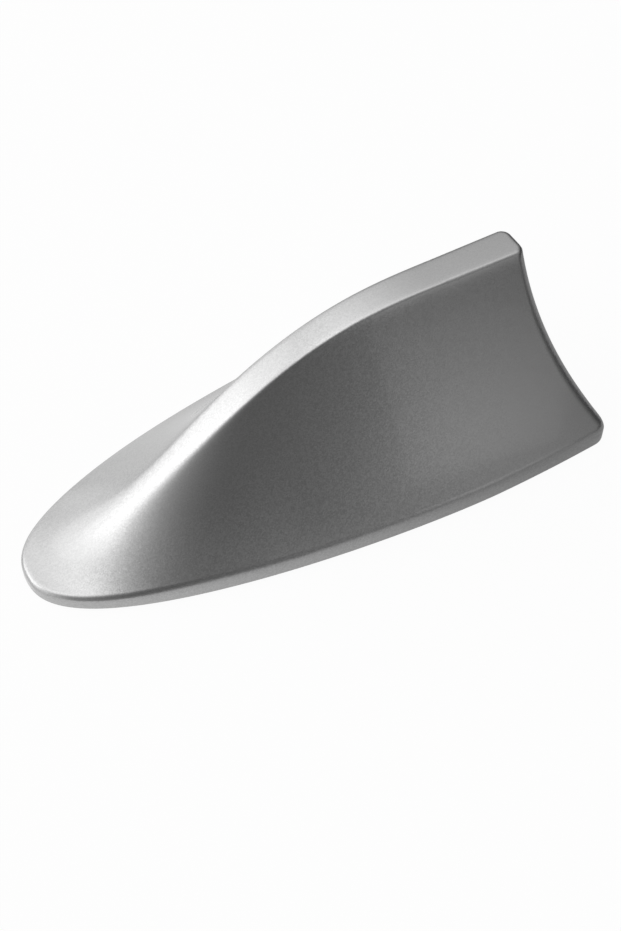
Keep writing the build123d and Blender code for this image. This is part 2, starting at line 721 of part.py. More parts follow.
# Shrouded two-pin header for the lead
header_plane = Plane(header_place + (board_top,))
with BuildPart() as header_shell:
    with BuildSketch(header_plane):
        Rectangle(HEADER_LENGTH, HEADER_WIDTH)
    extrude(amount=HEADER_HEIGHT)
    with BuildSketch(header_plane.offset(HEADER_FLOOR)):
        Rectangle(HEADER_LENGTH - 2 * HEADER_WALL, HEADER_WIDTH - 2 * HEADER_WALL)
    extrude(amount=HEADER_HEIGHT, mode=Mode.SUBTRACT)
    with BuildSketch(header_plane):
        with GridLocations(0.0, PIN_PITCH, 1, PINS):
            Rectangle(PIN, PIN)
    extrude(amount=HEADER_FLOOR, mode=Mode.SUBTRACT)
header_shell.part.label = "header_shell"
export_step(header_shell.part, "parts/header_shell.step")

with BuildPart() as header_pins:
    with BuildSketch(header_plane.offset(-BOARD - PIN_TAIL)):
        with GridLocations(0.0, PIN_PITCH, 1, PINS):
            Rectangle(PIN, PIN)
    extrude(amount=PIN_TAIL + BOARD + PIN_HEIGHT)
header_pins.part.label = "header_pins"
export_step(header_pins.part, "parts/header_pins.step")

# Rubber grommet that grips the plate's edge and the lead
with BuildPart() as lead_grommet:
    with BuildSketch(Plane.XZ):
        with BuildLine():
            Polyline(
                (LEAD_HOLE_DIAMETER / 2, TAPE - GROMMET_LOWER_FLANGE),
                (GROMMET_FLANGE / 2, TAPE - GROMMET_LOWER_FLANGE),
                (GROMMET_FLANGE / 2, TAPE),
                (GROMMET_NECK / 2, TAPE),
                (GROMMET_NECK / 2, plate_top),
                (GROMMET_FLANGE / 2, plate_top),
                (GROMMET_FLANGE / 2, plate_top + GROMMET_UPPER_FLANGE),
                (GROMMET_SPIGOT / 2, plate_top + GROMMET_UPPER_FLANGE),
                (GROMMET_SPIGOT / 2, plate_top + GROMMET_SPIGOT_HEIGHT),
                (LEAD_HOLE_DIAMETER / 2, plate_top + GROMMET_SPIGOT_HEIGHT),
                close=True,
            )
        make_face()
    revolve(axis=Axis.Z)
lead_grommet.part = lead_grommet.part.moved(Location(outlet_place + (0.0,)))
lead_grommet.part.label = "lead_grommet"
export_step(lead_grommet.part, "parts/lead_grommet.step")
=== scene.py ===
# %% [markdown]
# # A silver shark fin aerial
# The aerial is a hollow plastic fin, sprayed silver, that sticks to a car's roof. Its solids come from the packed
# CAD model, which stays as it is. This lesson gives every piece its finish, adds the fine forms that are too small
# for the solids, and photographs the result in a small studio. Blender works in metres here.

# %% Load the solids
import math

import bmesh
import bpy
import numpy as np
from mathutils import Matrix, Vector


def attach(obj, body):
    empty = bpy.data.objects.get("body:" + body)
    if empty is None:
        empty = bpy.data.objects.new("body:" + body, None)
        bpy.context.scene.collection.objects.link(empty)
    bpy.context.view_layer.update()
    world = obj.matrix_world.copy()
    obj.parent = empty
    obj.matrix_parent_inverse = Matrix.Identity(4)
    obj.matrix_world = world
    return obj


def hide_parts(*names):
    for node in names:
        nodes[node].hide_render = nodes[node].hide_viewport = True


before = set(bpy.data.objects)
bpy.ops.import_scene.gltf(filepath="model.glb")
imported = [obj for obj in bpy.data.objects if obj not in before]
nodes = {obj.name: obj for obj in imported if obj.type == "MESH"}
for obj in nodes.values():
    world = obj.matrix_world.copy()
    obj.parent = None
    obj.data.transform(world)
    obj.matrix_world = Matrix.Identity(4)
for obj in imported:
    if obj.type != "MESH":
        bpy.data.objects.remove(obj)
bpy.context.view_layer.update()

MM = 0.001

# %% [markdown]
# ## Tools for finishes
# A finish is a small graph of shader nodes. One function adds a node, sets its properties, fills its sockets and
# links it, so that each material below reads as a list of what it is made of. Colours are written as they look on a
# screen, as hex values, and one function turns them into the linear light that the shader works with.

# %% Colour and node helpers
def linear(hex_colour):
    """sRGB hex to linear RGBA: values under the knee are divided, the others are raised to a power."""
    srgb = np.array([int(hex_colour[place:place + 2], 16) for place in (1, 3, 5)]) / 255
    light = np.where(srgb <= 0.04045, srgb / 12.92, ((srgb + 0.055) / 1.055) ** 2.4)
    return (*light, 1.0)


def add_node(tree, kind, sockets=None, links=None, **properties):
    """Adds a shader node, sets its properties, fills its sockets and links outputs of other nodes into it."""
    node = tree.nodes.new("ShaderNode" + kind)
    for name, value in properties.items():
        setattr(node, name, value)
    for name, value in (sockets or {}).items():
        node.inputs[name].default_value = value
    for name, output in (links or {}).items():
        tree.links.new(output, node.inputs[name])
    return node


def new_material(name):
    """An empty material with its output node, and the object coordinates that its patterns are drawn in."""
    material = bpy.data.materials.new(name)
    material.use_nodes = True
    tree = material.node_tree
    tree.nodes.clear()
    place = add_node(tree, "TexCoord").outputs["Object"]
    return material, tree, place


def per_mm(size):
    """Texture scale that makes one cell of a pattern about size millimetres wide."""
    return 1 / (size * MM)


# %% [markdown]
# ## Silver paint
# The cover is moulded ABS, sprayed with a base coat full of aluminium flakes and then with clear lacquer. The
# flakes lie nearly flat and act as a rough mirror. Each one is tilted a little, which gives the fine glitter, and the
# lacquer adds a second, sharp and weak reflection on top. Real flakes are about 0.03 mm wide. Here they are drawn
# ten times as wide, or they would vanish between the pixels.

# %% Silver flake paint
FLAKE_WIDTH = 0.35
FLAKE_TILT = 0.05

silver_paint, tree, place = new_material("flake_silver_paint_under_lacquer")
flakes = add_node(tree, "TexVoronoi", {"Scale": per_mm(FLAKE_WIDTH)}, {"Vector": place})
centred = add_node(tree, "VectorMath", {1: (0.5, 0.5, 0.5)}, {0: flakes.outputs["Color"]}, operation="SUBTRACT")
tilted = add_node(tree, "VectorMath", {"Scale": FLAKE_TILT}, {0: centred.outputs[0]}, operation="SCALE")
facing = add_node(tree, "NewGeometry")
leaning = add_node(tree, "VectorMath", {}, {0: facing.outputs["Normal"], 1: tilted.outputs[0]}, operation="ADD")
flake_normal = add_node(tree, "VectorMath", {}, {0: leaning.outputs[0]}, operation="NORMALIZE")
flake_pick = add_node(tree, "SeparateColor", {}, {"Color": flakes.outputs["Color"]})
silver = add_node(
    tree, "Mix", {"A": linear("#b5b5b5"), "B": linear("#c5c5c5")}, {"Factor": flake_pick.outputs["Red"]},
    data_type="RGBA",
)
paint = add_node(
    tree, "BsdfPrincipled",
    {"Metallic": 0.92, "Roughness": 0.30, "Coat Weight": 1.0, "Coat Roughness": 0.08, "Coat IOR": 1.5},
    {"Base Color": silver.outputs["Result"], "Normal": flake_normal.outputs[0]},
)
add_node(tree, "OutputMaterial", {}, {"Surface": paint.outputs[0]})
nodes["fin_cover"].material_slots[0].material = silver_paint
print("paint on fin_cover:", silver_paint.name)

# %% [markdown]
# ## Fin cover
# The solid cover has the right form, but its lip and its trailing edges end in creases, while a moulding tool rounds
# every edge so that paint can flow over it. Here the cover's skin is drawn again from the same formulas, with a
# rounded lip and soft trailing edges. A fillet on the solid's mesh would be a simpler way, but it can't follow edges
# that fade out. So each surface is written as a distance that is negative inside. The larger of two distances is the
# solid that both share, and rounding that choice rounds the edge between them.

# %% Outline of the fin
LENGTH, WIDTH, TAIL_WIDTH, HEIGHT = 176.0, 79.7, 76.2, 58.8
WIDEST_ALONG = 133.7
NOSE_FULLNESS = 2.35
SIDE_FULLNESS = 1.57
TAIL_CORNER_RADIUS = 5.6
LEAST_SLOPE = 1e-4


def both(first, second, radius):
    """Distance to the solid that two solids share, with a rounded edge: outside the edge it is the distance to a
    circle of the radius, elsewhere the larger of the two distances."""
    corner = np.hypot(np.maximum(first + radius, 0), np.maximum(second + radius, 0))
    return np.minimum(np.maximum(first, second), -radius) + corner


def nose_rest(along):
    """Share of the way from the widest place to the nose that is still to go."""
    return np.maximum(1 - along / WIDEST_ALONG, 0)


def tail_taper(along):
    """How much narrower the footprint is on each side behind its widest place: it grows with the square."""
    behind = np.maximum(along - WIDEST_ALONG, 0) / (LENGTH - WIDEST_ALONG)
    return (WIDTH - TAIL_WIDTH) / 2 * behind**2


def half_width(along):
    """Half of the footprint's width: a superellipse nose, then the taper."""
    nose = np.clip(1 - nose_rest(along) ** SIDE_FULLNESS, 0, 1) ** (1 / NOSE_FULLNESS)
    return WIDTH / 2 * nose - tail_taper(along)


def outside_footprint(along, across):
    """Distance outside the footprint: the superellipse's value divided by its slope, with the tail cut square and its
    corners rounded."""
    side = 2 * np.abs(across) / WIDTH
    value = side**NOSE_FULLNESS + nose_rest(along) ** SIDE_FULLNESS - 1
    slope_across = NOSE_FULLNESS * 2 / WIDTH * side ** (NOSE_FULLNESS - 1)
    slope_along = SIDE_FULLNESS / WIDEST_ALONG * nose_rest(along) ** (SIDE_FULLNESS - 1)
    sides = value / np.maximum(np.hypot(slope_across, slope_along), LEAST_SLOPE) + tail_taper(along)
    return both(sides, along - LENGTH, TAIL_CORNER_RADIUS)


print("width in mm at the widest place:", round(2 * float(half_width(WIDEST_ALONG)), 1))


# %% [markdown]
# The skin's height is a mix of a dome at the nose and a flat strip with hollow flanks behind it. The tail's face is a
# parabola, upright where the ridge ends.

# %% Skin, tail and lip
RIDGE_LEVEL_ALONG, RIDGE_SWELL, RIDGE_ONSET = 129.5, 2.57, 2.37
RIDGE_NOSE_WIDTH, RIDGE_TAIL_WIDTH = 7.9, 10.7
RIDGE_EDGE_BLEND, NOSE_EDGE_BLEND = 1.0, 2.4
FLANK_HOLLOW = 0.4
NOSE_BLUNT_ALONG, FLANK_STARTS_ALONG = 9.5, 76.5
NOSE_LIP, TAIL_LIP, LIP_LEVEL_ALONG = 4.1, 5.1, 100.0
TAIL_RAKE = 16.2
TAIL_EDGE_RADIUS = 3.0
RIDGE_END_RADIUS = 1.2
EDGE_ZONE_ALONG = 140.0
WALL_INSET = 0.4
LIP_RADIUS = 1.6
FLANK_INSET = 0.8
NUDGE = 0.05


def lip_height(along):
    """Height of the lip: it rises from the nose by a parabola, then runs level."""
    return TAIL_LIP - (TAIL_LIP - NOSE_LIP) * np.maximum(1 - along / LIP_LEVEL_ALONG, 0) ** 2


def ridge_height(along):
    """Height of the ridge: an S-curve from the nose to a level run."""
    rise = np.clip(along / RIDGE_LEVEL_ALONG, 0, 1)
    return NOSE_LIP + (HEIGHT - NOSE_LIP) * (1 - (1 - rise) ** RIDGE_SWELL) ** RIDGE_ONSET


def strip_half_width(along):
    """Half of the width of the flat strip on the ridge: it grows evenly from the nose to the tail."""
    return (RIDGE_NOSE_WIDTH + (RIDGE_TAIL_WIDTH - RIDGE_NOSE_WIDTH) * along / LENGTH) / 2


def flank_foot(along):
    """Distance from the middle line at which the flank meets the lip: the footprint, a little narrower."""
    return half_width(np.maximum(along, NOSE_BLUNT_ALONG)) * (1 - 2 * FLANK_INSET / WIDTH)


def flank_half_width(along, height):
    """Half of the fin's width at a height: the hollow flank's formula solved the other way round."""
    strip, foot, lip = strip_half_width(along), flank_foot(along), lip_height(along)
    share = (height - lip) / np.maximum(ridge_height(along) - lip, 1)
    steepest = 1 + FLANK_HOLLOW
    root = np.sqrt(np.maximum(steepest**2 - 4 * FLANK_HOLLOW * (1 - share), 0))
    return strip + (foot - strip) * (steepest - root) / (2 * FLANK_HOLLOW)


def skin_height(along, across):
    """Height of the skin: dome and hollow flank mixed by a smooth step, with the strip's edge rounded by a
    hyperbola."""
    lip = lip_height(along)
    tall = np.maximum(ridge_height(along) - lip, 0)
    edge = flank_foot(along)
    strip = strip_half_width(along)
    reach = (np.abs(across) - strip) / (edge - strip)
    flank = (1 - reach) * (1 - FLANK_HOLLOW * reach)
    share = np.clip(along / FLANK_STARTS_ALONG, 0, 1)
    fin = share**2 * (3 - 2 * share)
    blend = (RIDGE_EDGE_BLEND + NOSE_EDGE_BLEND * (1 - fin)) / np.maximum(tall, RIDGE_EDGE_BLEND)
    flank = (1 + flank - np.sqrt((1 - flank) ** 2 + blend**2)) / 2
    return lip + tall * ((1 - fin) * (1 - (across / edge) ** 2) + fin * flank)


def outside_body(along, across, height):
    """Distance outside the skin and the tail: height above the skin divided by its steepness, and, near the tail, the
    distance beside the flank rounded into the distance behind the tail's parabola."""
    slope_along = (skin_height(along + NUDGE, across) - skin_height(along - NUDGE, across)) / (2 * NUDGE)
    slope_across = (skin_height(along, across + NUDGE) - skin_height(along, across - NUDGE)) / (2 * NUDGE)
    above = (height - skin_height(along, across)) / np.sqrt(1 + slope_along**2 + slope_across**2)
    drop = np.maximum(HEIGHT - height, 0) / (HEIGHT - TAIL_LIP)
    behind = along - (LENGTH - TAIL_RAKE) - (TAIL_RAKE - FLANK_INSET) * drop**2
    beside = np.abs(across) - flank_half_width(along, height) - np.maximum(EDGE_ZONE_ALONG - along, 0) / 2
    trailing = both(beside, behind, TAIL_EDGE_RADIUS)
    return np.maximum(above, both(trailing, height - ridge_height(along), RIDGE_END_RADIUS))


def outside_cover(along, across, height):
    """Distance outside the cover: body and wall share their inside, with a rounded lip between them."""
    wall = outside_footprint(along, across) + WALL_INSET
    return both(outside_body(along, across, height), wall, LIP_RADIUS)


def outside_hollow(along, across, height):
    """Distance outside the space in the cover: body and wall, both moved inwards by the wall's thickness."""
    wall = outside_footprint(along, across) + WALL_INSET + COVER_WALL
    return both(outside_body(along, across, height) + COVER_WALL, wall, LIP_RADIUS)


print("ridge in mm at the nose and where it levels:", NOSE_LIP, round(float(ridge_height(RIDGE_LEVEL_ALONG)), 1))


# %% [markdown]
# A grid now has to be laid over that shape. Rays start on a line below the fin and fan out: the first parameter
# is the ray's turn round the fin, the second its rise from the lip to the ridge. Halving an interval again and again
# finds where each ray leaves the solid, for all rays at once. Rays stand closer where the shape turns sharply, at the
# lip, the trailing edges and the ridge. A second, inner sheet gives the moulding its thickness.

# %% Rays over the fin
COVER_WALL = 2.2
ROOF_GAP = 0.2
RAY_DEPTH = -15.0
RAY_SPREAD = 38.0
RAY_REACH = 260.0
FIRST_TURN, LAST_TURN, TURN_STEPS = -90, 270, 3601
TURNS = 450
HALVINGS = 40
EDGE_TURNS, EDGE_TURN_WIDTH, EDGE_CROWDING = (68.5, 111.5), 17.0, 2.6
LIP_RISE = 9.0
HIGHER_RISES = (57.0, 72.0, 81.0, 90.0)
BAND_ROWS = (36, 34, 34, 10, 50)
HOLLOW_ROWS = 24

turn_guess = np.linspace(FIRST_TURN, LAST_TURN, TURN_STEPS)
crowding = 1 + sum(EDGE_CROWDING * np.exp(-(((turn_guess - turn) / EDGE_TURN_WIDTH) ** 4)) for turn in EDGE_TURNS)
crowded = np.concatenate([[0], np.cumsum((crowding[1:] + crowding[:-1]) / 2)])
turn = np.radians(np.interp(np.linspace(0, crowded[-1], TURNS, endpoint=False), crowded, turn_guess))[None, :]
ray_foot = LENGTH / 2 + RAY_SPREAD * np.sin(turn)


def leave(outside, furthest):
    """Distance along each ray at which it leaves a solid, by halving the interval between inside and outside."""
    near, far = np.zeros_like(furthest), furthest
    for halving in range(HALVINGS):
        middle = (near + far) / 2
        is_out = outside(middle) > 0
        near, far = np.where(is_out, near, middle), np.where(is_out, middle, far)
    return (near + far) / 2


def ray_point(rise, reach):
    """Point at a distance along the rays of a rise: along, across and height."""
    level = reach * np.cos(rise)
    return ray_foot + level * np.sin(turn), -level * np.cos(turn), RAY_DEPTH + reach * np.sin(rise)


def rim_rise(inset):
    """Rise of the rays that pass through the wall's lower rim, moved inwards by inset."""
    rim = leave(
        lambda reach: outside_footprint(ray_foot + reach * np.sin(turn), -reach * np.cos(turn)) + inset,
        np.full_like(turn, RAY_REACH),
    )
    return np.arctan2(ROOF_GAP - RAY_DEPTH, rim)


def sheet(outside, rise):
    """Points where the rays of all rises leave a solid, rows by columns by three, in mm from the footprint's
    middle."""
    reach = leave(lambda reach: outside(*ray_point(rise, reach)), np.full(rise.shape, RAY_REACH))
    along, across, height = ray_point(rise, reach)
    return np.stack([along - LENGTH / 2, across, height], axis=-1)


# %% Cover skin
rim = rim_rise(WALL_INSET)
band_ends = [rim, rim + math.radians(LIP_RISE)] + [np.full_like(rim, math.radians(rise)) for rise in HIGHER_RISES]
outer_rise = np.concatenate([
    low + (high - low) * np.linspace(0, 1, rows, endpoint=False)[:, None]
    for low, high, rows in zip(band_ends, band_ends[1:], BAND_ROWS)
] + [band_ends[-1]])
hollow_start = rim_rise(WALL_INSET + COVER_WALL)
inner_rise = hollow_start + (band_ends[-1] - hollow_start) * np.linspace(0, 1, HOLLOW_ROWS)[:, None]
outer_sheet = sheet(outside_cover, outer_rise)
inner_sheet = sheet(outside_hollow, inner_rise)
cover_rows = np.concatenate([inner_sheet[::-1], outer_sheet]) * MM
print("cover grid:", cover_rows.shape[:2], "top in mm:", round(outer_sheet[..., 2].max(), 2))

# %% [markdown]
# The rows of both sheets become one closed mesh. On the ridge's middle line the near and the far half of the last
# ring lie on each other, and merging them zips the skin shut. The new cover then stands in for the solid one.

# %% Cover mesh
WELD = 0.002
COVER_SHARP_ANGLE = 50


def zipped_mesh(name, rows):
    """A mesh from rings of points: neighbouring rings share quads, and points that lie on each other are merged."""
    number = np.arange(rows[..., 0].size).reshape(rows.shape[:2])
    beside = np.roll(number, -1, axis=1)
    quads = np.stack([number[:-1], beside[:-1], beside[1:], number[1:]], axis=-1).reshape(-1, 4)
    mesh = bpy.data.meshes.new(name)
    mesh.from_pydata(rows.reshape(-1, 3).tolist(), [], quads.tolist())
    welded = bmesh.new()
    welded.from_mesh(mesh)
    bmesh.ops.remove_doubles(welded, verts=welded.verts, dist=WELD * MM)
    welded.to_mesh(mesh)
    welded.free()
    mesh.shade_smooth()
    mesh.set_sharp_from_angle(angle=math.radians(COVER_SHARP_ANGLE))
    piece = bpy.data.objects.new(name, mesh)
    bpy.context.scene.collection.objects.link(piece)
    return piece


def put_in_place(piece, node, finish):
    """Lets a finer piece stand in for a solid: it rides on the root body, takes the finish into its own slot, and the
    solid is hidden.
    """
    piece.data.materials.append(finish)
    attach(piece, "root")
    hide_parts(node)
    print(piece.name, "for", node, "with", len(piece.data.polygons), "faces")


put_in_place(zipped_mesh("moulded_fin_cover", cover_rows), "fin_cover", silver_paint)

# %% [markdown]
# ## Moulded plastic and rubber
# Under the cover sit pieces that are coloured right through: a base plate of moulded ABS with a fine grain from its
# mould, a nylon header, a pressed epoxy chip and a rubber gland. They could be plain colours, but a real moulding is
# never quite even, so one function lets a pattern drive the colour and a slight relief together. The same function
# serves for most of the pieces below, each with its own pattern, grain and gloss.

# %% Patterned finishes
GRAIN = ("TexNoise", "Fac")
CELLS = ("TexVoronoi", "Distance")
WEAVE = ("TexChecker", "Fac")


def patterned(name, pattern, size, dark, light, relief, sockets):
    """A finish whose colour and relief follow one pattern, with cells of a size and relief of a depth in mm."""
    material, tree, place = new_material(name)
    kind, output = pattern
    amount = add_node(tree, kind, {"Scale": per_mm(size)}, {"Vector": place}).outputs[output]
    tone = add_node(tree, "Mix", {"A": linear(dark), "B": linear(light)}, {"Factor": amount}, data_type="RGBA")
    bump = add_node(tree, "Bump", {"Distance": relief * MM}, {"Height": amount})
    surface = add_node(
        tree, "BsdfPrincipled", sockets, {"Base Color": tone.outputs["Result"], "Normal": bump.outputs[0]}
    )
    add_node(tree, "OutputMaterial", {}, {"Surface": surface.outputs[0]})
    return material


def dress(finish, *names):
    """Gives solids a finish by putting it into their material slots."""
    for name in names:
        nodes[name].material_slots[0].material = finish
    print(finish.name, "on", ", ".join(names))


# Moulded ABS: the mould's grain scatters the highlight into a satin sheen
dress(patterned("moulded_black_abs", GRAIN, 0.4, "#121212", "#1d1d1d", 0.02, {"Roughness": 0.45}), "base_plate")
# Nylon: creamy and slightly waxy
dress(patterned("moulded_nylon", GRAIN, 1.5, "#ddd6c3", "#ece6d6", 0.01, {"Roughness": 0.4}), "header_shell")
# Pressed epoxy: nearly black and matt, with a mineral filler that shows as specks
dress(patterned("pressed_epoxy", GRAIN, 0.15, "#151618", "#2a2b2e", 0.01, {"Roughness": 0.6}), "amplifier_chip")
# Rubber: deep black with hardly any gloss
dress(patterned("moulded_rubber", GRAIN, 0.6, "#0c0c0c", "#171717", 0.02, {"Roughness": 0.8}), "lead_grommet")

# %% [markdown]
# ## Foams
# A soft black foam ring seals the cover to the plate, and a firmer grey foam tape holds the aerial to the roof. Both
# are full of small closed bubbles. A Voronoi pattern gives rounded cells like bubbles, so it colours them and dents
# the surface.

# %% Foam finishes
# Rubber foam: cut bubbles have a painted highlight on their rims, and the rest of each bubble is painted dark as
# painted shade
dress(patterned("closed_cell_foam", CELLS, 0.5, "#0b0b0c", "#2a2a2c", 0.10, {"Roughness": 0.9}), "seal_gasket")
# Acrylic foam tape: finer bubbles and a tacky skin with a little gloss
dress(patterned("acrylic_foam_tape", CELLS, 0.3, "#3f4144", "#5f6165", 0.03, {"Roughness": 0.6}), "adhesive_pad")

# %% [markdown]
# ## Circuit boards and their copper
# The boards are glass cloth pressed in epoxy, under a green solder mask. The cloth shows through the mask as a faint
# weave, which a checker pattern at the pitch of the threads gives. The aerial's conductor is a copper strip, etched
# and left bare under clear lacquer.

# %% Board finishes
# Solder mask: a glossy green film over the weave
dress(
    patterned("masked_glass_epoxy", WEAVE, 0.6, "#0d4a28", "#11552f", 0.01, {"Roughness": 0.3, "Coat Weight": 0.4}),
    "main_board", "radiator_board",
)
# Etched copper: a warm metal, slightly dulled by the etch
dress(
    patterned("etched_copper", GRAIN, 0.8, "#b0663a", "#c98254", 0.005, {"Metallic": 1.0, "Roughness": 0.35}),
    "radiator_trace",
)

# %% [markdown]
# ## Small parts on the board
# A ferrite drum carries the choke's wire. A tinplate can screens the amplifier, and the capacitors and pins stand
# beside it. They are bought-in parts, each with one look: sintered, rolled, fired, drawn or plated.

# %% Finishes of the small parts
# Sintered ferrite: grey-black grains with a dull shine
dress(patterned("sintered_ferrite", CELLS, 0.2, "#272628", "#3b3a3c", 0.01, {"Roughness": 0.5}), "choke_core")
# Rolled tinplate: bright, with broad soft patches from the tin bath
dress(
    patterned("rolled_tinplate", GRAIN, 3.0, "#b4b6b8", "#c8cacb", 0.002, {"Metallic": 1.0, "Roughness": 0.28}),
    "shield_can",
)
# Fired ceramic: a sandy brown with fine specks
dress(patterned("fired_ceramic", GRAIN, 0.2, "#866a49", "#a0845e", 0.005, {"Roughness": 0.45}), "chip_capacitors")
# Drawn aluminium: pale and smooth, with a soft highlight
dress(
    patterned("drawn_aluminium", GRAIN, 1.2, "#c0c2c5", "#d2d4d6", 0.002, {"Metallic": 1.0, "Roughness": 0.3}),
    "supply_capacitor",
)
# Tinned brass: silvery with a hint of yellow
dress(
    patterned("tinned_brass", GRAIN, 0.5, "#c6c2b4", "#d8d5c9", 0.002, {"Metallic": 1.0, "Roughness": 0.25}),
    "header_pins",
)

# %% [markdown]
# ## Screws
# The solids have plain pins for the screws. A real one is rolled: its thread is a ridge that climbs round a thinner
# core, and a cross is pressed into its domed head. As a surface this is one profile turned round an axis, with a
# radius that also depends on the angle. The first parameter runs along the profile from the head's middle to the tip,
# the second goes round. A helix modifier could make the thread too, but the formula is shorter and gives one closed
# skin.

# %% Screw surface
SCREW_SIDES = 48
FACE_ROWS = 16
FACE_ENDS = (0.02, 0.92)
HEAD_RIM = np.array([[0.98, 0.45], [1.0, 0.60], [1.0, 1.0]])
ROWS_A_PITCH = 12
FACE_DOME = 0.35
CROSS_ARM = 0.17
CROSS_REACH = 0.62
CROSS_DEPTH = 0.55
CORE_SHARE = 0.76
RIDGE_SHARE = 0.25
TIP_SHARE = 0.18
TIP_BLUNT = 0.12
SCREW_SHARP_ANGLE = 35


def screw_surface(head_width, head_height, width, length, pitch):
    """A screw that stands on its head, as rows round its axis. The head's face is domed by the square of the distance
    from the middle and sunk by a constant depth inside a cross. The shank is a core with a ridge: the ridge's height
    falls off straight with the distance from a helix, and the tip shrinks to a blunt point."""
    angle = np.linspace(0, 2 * np.pi, SCREW_SIDES, endpoint=False)[None, :]
    face = np.linspace(*FACE_ENDS, FACE_ROWS)[:, None]
    from_arm = np.minimum(np.abs(face * np.cos(angle)), np.abs(face * np.sin(angle)))
    sunk = (from_arm < CROSS_ARM) & (face < CROSS_REACH)
    face_height = FACE_DOME * face**2 + CROSS_DEPTH * sunk
    climb = np.linspace(0, length, round(length / pitch * ROWS_A_PITCH))[:, None]
    from_helix = np.abs((climb / pitch - angle / (2 * np.pi)) % 1 - 0.5)
    ridge = np.clip(1 - from_helix / RIDGE_SHARE, 0, 1)
    taper = np.clip((length - climb) / (TIP_SHARE * length), TIP_BLUNT, 1)
    shank = width / 2 * (CORE_SHARE + (1 - CORE_SHARE) * ridge) * taper
    flat = np.zeros_like(angle)
    radius = np.concatenate([face * head_width / 2 + flat, HEAD_RIM[:, :1] * head_width / 2 + flat, shank])
    rim_height = HEAD_RIM[:, 1:] * head_height + flat
    height = np.concatenate([face_height * head_height, rim_height, head_height + climb + flat])
    return np.stack([radius * np.cos(angle), radius * np.sin(angle), height], axis=-1)


def ring_mesh(name, tubes, sharp_angle):
    """A mesh from tubes of points, tubes by rows by columns by three: each row closes into a ring, neighbouring rings
    share quads, and one flat face closes each end."""
    number = np.arange(tubes[..., 0].size).reshape(tubes.shape[:3])
    beside = np.roll(number, -1, axis=2)
    sides = np.stack([number[:, :-1], beside[:, :-1], beside[:, 1:], number[:, 1:]], axis=-1).reshape(-1, 4)
    ends = np.concatenate([number[:, 0, ::-1], number[:, -1]])
    mesh = bpy.data.meshes.new(name)
    mesh.from_pydata(tubes.reshape(-1, 3).tolist(), [], sides.tolist() + ends.tolist())
    mesh.shade_smooth()
    mesh.set_sharp_from_angle(angle=math.radians(sharp_angle))
    piece = bpy.data.objects.new(name, mesh)
    bpy.context.scene.collection.objects.link(piece)
    return piece


# %% [markdown]
# Four screws hold the cover from below, heads down in the plate, and four smaller ones hold the board, heads up. A
# half turn about the X axis stands a screw the other way up and keeps its faces outwards. The finish is zinc plate on
# steel, which is a cool grey metal with faint cloudy patches.

# %% Cover screws and board screws
zinc = patterned(
    "bright_zinc_on_steel", GRAIN, 0.7, "#a4a8ac", "#bdc1c5", 0.002, {"Metallic": 1.0, "Roughness": 0.3}
)
COVER_SCREW_PLACES = np.array([[-36.0, 13.5, 1.0], [-36.0, -13.5, 1.0], [62.0, 20.0, 1.0], [62.0, -20.0, 1.0]])
cover_screw = screw_surface(head_width=5.4, head_height=1.1, width=2.9, length=8.0, pitch=1.1)
cover_tubes = (cover_screw[None] + COVER_SCREW_PLACES[:, None, None]) * MM
put_in_place(ring_mesh("threaded_cover_screws", cover_tubes, SCREW_SHARP_ANGLE), "cover_screws", zinc)

BOARD_SCREW_PLACES = np.array([[-18.5, 11.5, 9.5], [-18.5, -11.5, 9.5], [54.5, 11.5, 9.5], [54.5, -11.5, 9.5]])
board_screw = screw_surface(head_width=3.8, head_height=1.4, width=2.0, length=5.5, pitch=0.8) * np.array([1, -1, -1])
board_tubes = (board_screw[None] + BOARD_SCREW_PLACES[:, None, None]) * MM
put_in_place(ring_mesh("threaded_board_screws", board_tubes, SCREW_SHARP_ANGLE), "board_screws", zinc)

# %% [markdown]
# ## Choke winding
# The choke is enamelled copper wire, wound on the ferrite drum in three layers: up, back down and up again. In the
# solids it is a plain sleeve. Here a small circle is carried along the wire's path, which is a helix whose radius
# steps out by one wire at each turn-round. The circle's own directions are simply outwards and upwards, because the
# wire runs almost level.

# %% Wound wire
WIRE = 0.5
LAYERS = 3
STEPS_A_TURN = 40
WIRE_SIDES = 10
STEP_OUT_TURNS = 0.3
WIRE_SHARP_ANGLE = 60


def wound_wire(inner, height):
    """Wire in layers: the angle grows steadily, the height goes up and down as a triangle wave, and the radius climbs
    by one wire in the last part of each layer."""
    turns = (height - WIRE) / WIRE
    wound = np.linspace(0, LAYERS * turns, round(LAYERS * turns * STEPS_A_TURN))
    layer = wound / turns
    step_out = np.floor(layer) + np.clip((layer % 1 - 1) * turns / STEP_OUT_TURNS + 1, 0, 1)
    radius = inner + WIRE / 2 + WIRE * np.minimum(step_out, LAYERS - 1)
    level = WIRE / 2 + (height - WIRE) * np.abs((layer + 1) % 2 - 1)
    around = np.linspace(0, 2 * np.pi, WIRE_SIDES, endpoint=False)[None, :]
    reach = radius[:, None] + WIRE / 2 * np.cos(around)
    rise = level[:, None] - WIRE / 2 * np.sin(around)
    angle = 2 * np.pi * wound[:, None]
    return np.stack([reach * np.cos(angle), reach * np.sin(angle), rise], axis=-1)


def box_of(piece):
    """Lowest and highest corner of a solid, in millimetres."""
    corners = np.array([corner[:] for corner in piece.bound_box]) / MM
    return corners.min(axis=0), corners.max(axis=0)


sleeve_low, sleeve_high = box_of(nodes["choke_winding"])
sleeve_size = sleeve_high - sleeve_low
sleeve_foot = np.array([*(sleeve_low + sleeve_size / 2)[:2], sleeve_low[2]])
wire = wound_wire(sleeve_size[0] / 2 - LAYERS * WIRE, sleeve_size[2])
